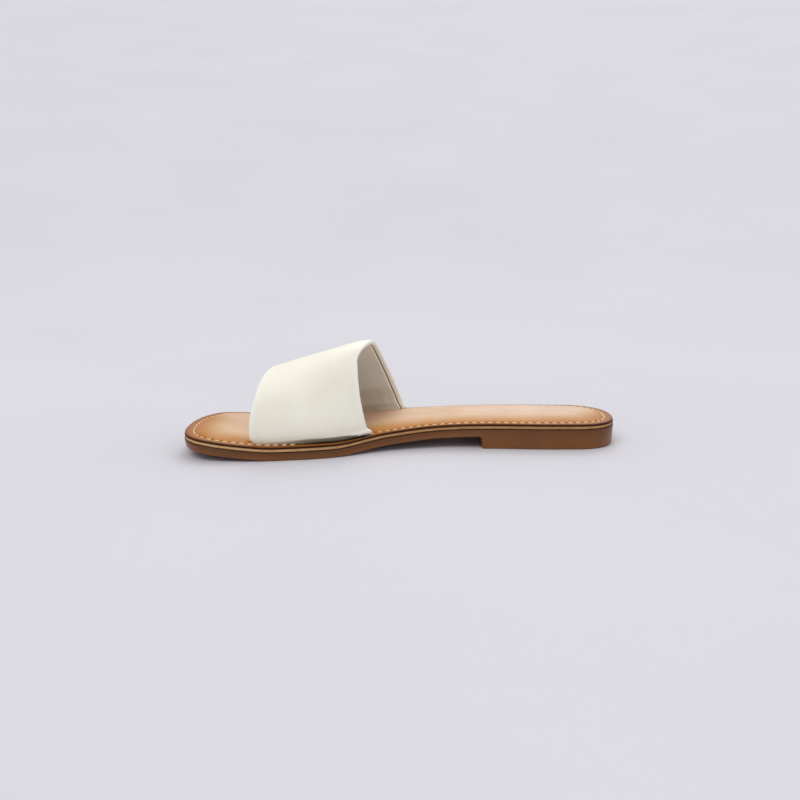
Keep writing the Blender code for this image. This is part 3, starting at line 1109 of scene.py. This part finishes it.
class Finish:
    """A node material while it is put together; plain colours are screen values from 0 to 255."""

    def __init__(self, name, specular):
        self.material = bpy.data.materials.new(name)
        self.material.use_nodes = True
        self.tree = self.material.node_tree
        self.shader = self.tree.nodes["Principled BSDF"]
        self.shader.inputs["Specular IOR Level"].default_value = specular
        self.place = self.node("TexCoord").outputs["Object"]

    def put(self, amount, socket):
        """Links a socket's output, or sets a plain amount."""
        if isinstance(amount, bpy.types.NodeSocket):
            self.tree.links.new(amount, socket)
        else:
            socket.default_value = amount

    def node(self, kind, **inputs):
        made = self.tree.nodes.new("ShaderNode" + kind)
        for label, amount in inputs.items():
            self.put(amount, made.inputs[label.replace("_", " ")])
        return made

    def noise(self, scale, detail, roughness=0.5, stretch=None):
        """Soft noise, in a place that may be stretched by different amounts along each axis."""
        place = self.place
        if stretch:
            place = self.node("Mapping", Vector=place, Scale=stretch).outputs["Vector"]
        made = self.node("TexNoise", Vector=place, Scale=scale, Detail=detail, Roughness=roughness)
        return made.outputs["Fac"]

    def cells(self, scale):
        """The distance to the nearest border between small cells."""
        made = self.node("TexVoronoi", Vector=self.place, Scale=scale)
        made.feature = "DISTANCE_TO_EDGE"
        return made.outputs["Distance"]

    def value(self, name):
        """An amount that the piece keeps for each of its points."""
        made = self.node("Attribute")
        made.attribute_name = name
        return made.outputs["Fac"]

    def ramp(self, source, stops):
        """Colours by amount: stops are pairs of a place from 0 to 1 and a colour."""
        made = self.node("ValToRGB", Fac=source)
        elements = made.color_ramp.elements
        for index, (at, colour) in enumerate(stops):
            element = elements[index] if index < 2 else elements.new(at)
            element.position = at
            element.color = tone(*colour)
        return made.outputs["Color"]

    def clouds(self, scale, detail, dark, pale):
        """Soft patches between two colours."""
        return self.ramp(self.noise(scale, detail), ((NOISE_LOW, dark), (NOISE_HIGH, pale)))

    def span(self, source, low, high, start=0.0, end=1.0):
        """Takes an amount from one range to another."""
        made = self.node("MapRange", Value=source, From_Min=low, From_Max=high, To_Min=start, To_Max=end)
        return made.outputs["Result"]

    def mix(self, share, first, second, kind="MIX"):
        """Mixes a colour with another, or with a plain one."""
        made = self.node("Mix")
        made.data_type = "RGBA"
        made.blend_type = kind
        plain = isinstance(second, tuple)
        for index, amount in ((0, share), (6, first), (7, tone(*second) if plain else second)):
            self.put(amount, made.inputs[index])
        return made.outputs[2]

    def bump(self, *layers):
        """Stacks bumps, each a height and how deep it goes in millimetres."""
        normal = None
        for height, depth in layers:
            made = self.node("Bump", Strength=1.0, Distance=depth * MM, Height=height)
            if normal:
                self.put(normal, made.inputs["Normal"])
            normal = made.outputs["Normal"]
        self.put(normal, self.shader.inputs["Normal"])

    def done(self, colour, pattern, smoothest, roughest):
        """Sets the colour, and a roughness that follows a pattern."""
        roughness = self.span(pattern, NOISE_LOW, NOISE_HIGH, smoothest, roughest)
        self.put(colour, self.shader.inputs["Base Color"])
        self.put(roughness, self.shader.inputs["Roughness"])
        return self.material


def ivory_leather():
    """Ivory leather: painted light pales its turned edges, and painted shade darkens the seam gap, the tucked
    foot and the crevice under it.
    """
    finish = Finish("ivory_leather", specular=0.4)
    colour = finish.clouds(28.0, 3.0, (238, 234, 215), (246, 243, 227))
    # Paler, cooler turned edges: painted light for the light the rolled rim catches
    rim_light = finish.span(finish.value("rim"), 0.5, 4.0, 0.7, 0.0)
    colour = finish.mix(rim_light, colour, (246, 247, 240))
    # Painted shade in the seam gap between the turning and the lining
    colour = finish.mix(finish.value("seam"), colour, (40, 30, 20))
    # Painted shade under the tucked foot: brownish at the front, olive grey along it, near black at the rear
    # corner
    tuck_shade = finish.ramp(finish.value("rearward"), (
        (0.0, (176, 150, 128)),
        (0.35, (128, 122, 102)),
        (0.8, (108, 105, 88)),
        (0.93, (44, 40, 32)),
    ))
    colour = finish.mix(finish.value("shade"), colour, tuck_shade)
    # Painted black shade in the crevice where the foot meets the insole
    colour = finish.mix(finish.value("crevice_shade"), colour, (18, 15, 12))
    grain = finish.cells(900.0)
    pores = finish.noise(2600.0, 2.0)
    finish.bump((grain, 0.035), (pores, 0.03), (finish.noise(110.0, 3.0), 0.10))
    return finish.done(colour, finish.noise(160.0, 4.0), 0.42, 0.58)


def lining_leather():
    """Matt lining, with painted warm light bounced from the insole near its foot, and pale along its edges,
    partly a paler cut edge and partly painted highlight.
    """
    finish = Finish("lining_leather", specular=0.25)
    colour = finish.clouds(60.0, 5.0, (218, 219, 207), (231, 233, 222))
    # Warmer towards the foot: painted warm light bounced from the insole
    colour = finish.mix(finish.value("low"), colour, (242, 229, 220), "MULTIPLY")
    # Pale rounded edge: partly a paler cut edge, partly painted highlight
    edge_end = LINING_INSET + LINING_EDGE_RADIUS
    edge = finish.span(finish.value("rim"), edge_end, edge_end + LINING_EDGE_RADIUS, 1.0, 0.0)
    colour = finish.mix(edge, colour, (250, 246, 232))
    finish.bump((finish.noise(1800.0, 3.0), 0.06))
    return finish.done(colour, finish.noise(300.0, 3.0), 0.72, 0.88)


def insole_leather():
    """Tan leather: dark edge and golden band inside the stitches, each partly burnish and partly painted
    shade, darker margin outside the stitches, pale padded middle with a painted sheen, and the band's painted
    shadow.
    """
    finish = Finish("insole_leather", specular=0.16)
    reach = 2.0 * INSOLE_INNER_INSET
    # Dark at the edge's foot, partly burnish and partly painted shade of the gap under the insole; the golden
    # band inside the stitches partly burnish and partly painted shade of the padding's slope
    tones_by_inset = (
        (0.0, (46, 22, 8)),
        (0.25, (66, 34, 12)),
        (0.6, (112, 63, 26)),
        (1.0, (150, 94, 40)),
        (3.8, (172, 112, 48)),
        (4.5, (146, 91, 36)),
        (5.5, (182, 117, 48)),
        (8.0, (187, 126, 60)),
        (12.0, (198, 147, 86)),
        (16.0, (209, 166, 119)),
        (22.0, (219, 184, 150)),
    )
    stops = [(inset / reach, colour) for inset, colour in tones_by_inset]
    colour = finish.ramp(finish.span(finish.value("inset"), 0.0, reach), stops)
    # Painted sheen: the padding paler towards the heel and away from its medial edge
    colour = finish.mix(finish.span(finish.value("heel"), 0.0, 1.0, 0.0, 0.6), colour, (230, 204, 182))
    colour = finish.mix(0.8, colour, finish.clouds(45.0, 5.0, (238, 230, 222), (255, 255, 255)), "MULTIPLY")
    colour = finish.mix(finish.value("shadow"), colour, (26, 13, 8))
    grain = finish.cells(1100.0)
    pores = finish.noise(2400.0, 2.0)
    finish.bump((grain, 0.03), (pores, 0.03), (finish.noise(90.0, 2.0), 0.12))
    return finish.done(colour, finish.noise(120.0, 4.0), 0.34, 0.48)


def raw_edge():
    """Cut leather board: pale fibres lying along the edge, darker under the insole, partly burnish and partly
    painted shade of the gap there.
    """
    finish = Finish("raw_leather_edge", specular=0.2)
    fibres = finish.noise(1.0, 5.0, 0.65, stretch=(220.0, 220.0, 2600.0))
    colour = finish.ramp(fibres, ((0.30, (158, 119, 80)), (0.48, (198, 156, 108)), (0.70, (222, 185, 136))))
    colour = finish.mix(finish.value("heelward"), colour, (226, 214, 206), "MULTIPLY")
    # Darker along the top under the insole: partly burnish, partly painted shade of the gap there
    colour = finish.mix(finish.span(finish.value("top"), 0.58, 0.76), colour, (80, 48, 26))
    finish.bump((fibres, 0.12), (finish.noise(1500.0, 3.0), 0.08))
    return finish.done(colour, fibres, 0.75, 0.92)


def moulded_sole():
    """Brown rubber, darker towards its top edge and faintly scuffed."""
    finish = Finish("moulded_sole", specular=0.3)
    colour = finish.clouds(50.0, 5.0, (122, 77, 38), (134, 87, 46))
    # Darker towards the top edge
    top_darkening = finish.ramp(finish.value("top"), (
        (0.46, (255, 252, 250)),
        (0.60, (228, 224, 218)),
        (0.70, (202, 194, 186)),
        (0.90, (160, 150, 140)),
    ))
    colour = finish.mix(1.0, colour, top_darkening, "MULTIPLY")
    scuffs = finish.noise(1.0, 4.0, 0.6, stretch=(120.0, 120.0, 600.0))
    colour = finish.mix(finish.span(scuffs, 0.62, 0.75, 0.0, 0.25), colour, (146, 98, 62))
    finish.bump((finish.noise(1400.0, 3.0), 0.04), (finish.noise(140.0, 3.0), 0.08))
    return finish.done(colour, finish.noise(90.0, 4.0), 0.28, 0.40)


def cream_thread():
    finish = Finish("cream_thread", specular=0.3)
    colour = finish.clouds(300.0, 3.0, (228, 200, 148), (242, 219, 170))
    finish.bump((finish.noise(5000.0, 2.0), 0.04))
    return finish.done(colour, finish.noise(700.0, 2.0), 0.6, 0.8)


def studio_paper():
    finish = Finish("studio_paper", specular=0.2)
    colour = finish.clouds(3.0, 2.0, (208, 207, 212), (211, 210, 215))
    finish.bump((finish.noise(400.0, 2.0), 0.05))
    return finish.done(colour, finish.noise(60.0, 2.0), 0.8, 0.9)


# Studio


def make_stage():
    """A pale floor that rises gently all round into a plain backdrop."""
    slope = np.radians(BACKDROP_SLOPE)
    bend = np.linspace(0.0, slope, STAGE_BEND_STEPS + 1)
    radius = np.concatenate([[FLOOR_RADIUS / 2], FLOOR_RADIUS + BEND_RADIUS * np.sin(bend)])
    height = np.concatenate([[0.0], BEND_RADIUS * (1.0 - np.cos(bend))])
    radius = np.append(radius, radius[-1] + BACKDROP_RUN * np.cos(slope))[:, None]
    height = np.append(height, height[-1] + BACKDROP_RUN * np.sin(slope))[:, None]
    turns = np.linspace(0.0, 2.0 * np.pi, STAGE_SIDES, endpoint=False)
    level = np.broadcast_to(height, (len(height), STAGE_SIDES))
    shape = Shape()
    numbers = shape.add(np.stack([radius * np.cos(turns), radius * np.sin(turns), level], axis=-1))
    shape.skin(numbers, around=True)
    shape.lid(numbers[0])
    shape.solid("studio_floor", studio_paper())


def aim(obj, target):
    obj.rotation_euler = (Vector(target) - obj.location).to_track_quat("-Z", "Y").to_euler()


def make_light(name, place, spread, strength, colour):
    light = bpy.data.lights.new(name, "SUN")
    light.angle = math.radians(spread)
    light.energy = strength
    light.color = colour
    lamp = new_object(name, light)
    lamp.location = place
    aim(lamp, (0.0, 0.0, 0.0))


def make_world():
    world = bpy.data.worlds.new("studio")
    world.use_nodes = True
    sky = world.node_tree.nodes["Background"]
    sky.inputs["Color"].default_value = SKY_COLOUR
    sky.inputs["Strength"].default_value = SKY_STRENGTH
    bpy.context.scene.world = world


def make_camera():
    turn = math.radians(CAMERA_TURN)
    lift = math.radians(CAMERA_ELEVATION)
    aside = Vector((-math.sin(turn) * math.cos(lift), -math.cos(turn) * math.cos(lift), math.sin(lift)))
    target = Vector(CAMERA_TARGET) * MM
    lens = bpy.data.cameras.new("camera")
    lens.lens = CAMERA_LENS
    lens.sensor_width = CAMERA_SENSOR
    lens.clip_start = 0.01
    camera = new_object("camera", lens)
    camera.location = target + aside * (CAMERA_DISTANCE * MM)
    aim(camera, target)
    bpy.context.scene.camera = camera


def make_studio():
    make_stage()
    make_world()
    for row in LIGHT_ROWS:
        make_light(*row)
    bpy.context.scene.view_settings.view_transform = "Standard"


def main():
    make_camera()
    make_outsole(moulded_sole())
    make_midsole(raw_edge())
    make_insole(insole_leather())
    make_stitches(cream_thread())
    make_band_piece(
        "upper_leather", leather_loop(), BAND_FOOT_DROP, BAND_THICKNESS / 2, CREASE_ROWS,
        ivory_leather(), "upper",
    )
    make_band_piece(
        "upper_lining", lining_loop(), BAND_FOOT_DROP / 2, LINING_FACE, LINING_CREASE_ROWS,
        lining_leather(),
    )
    make_studio()


main()
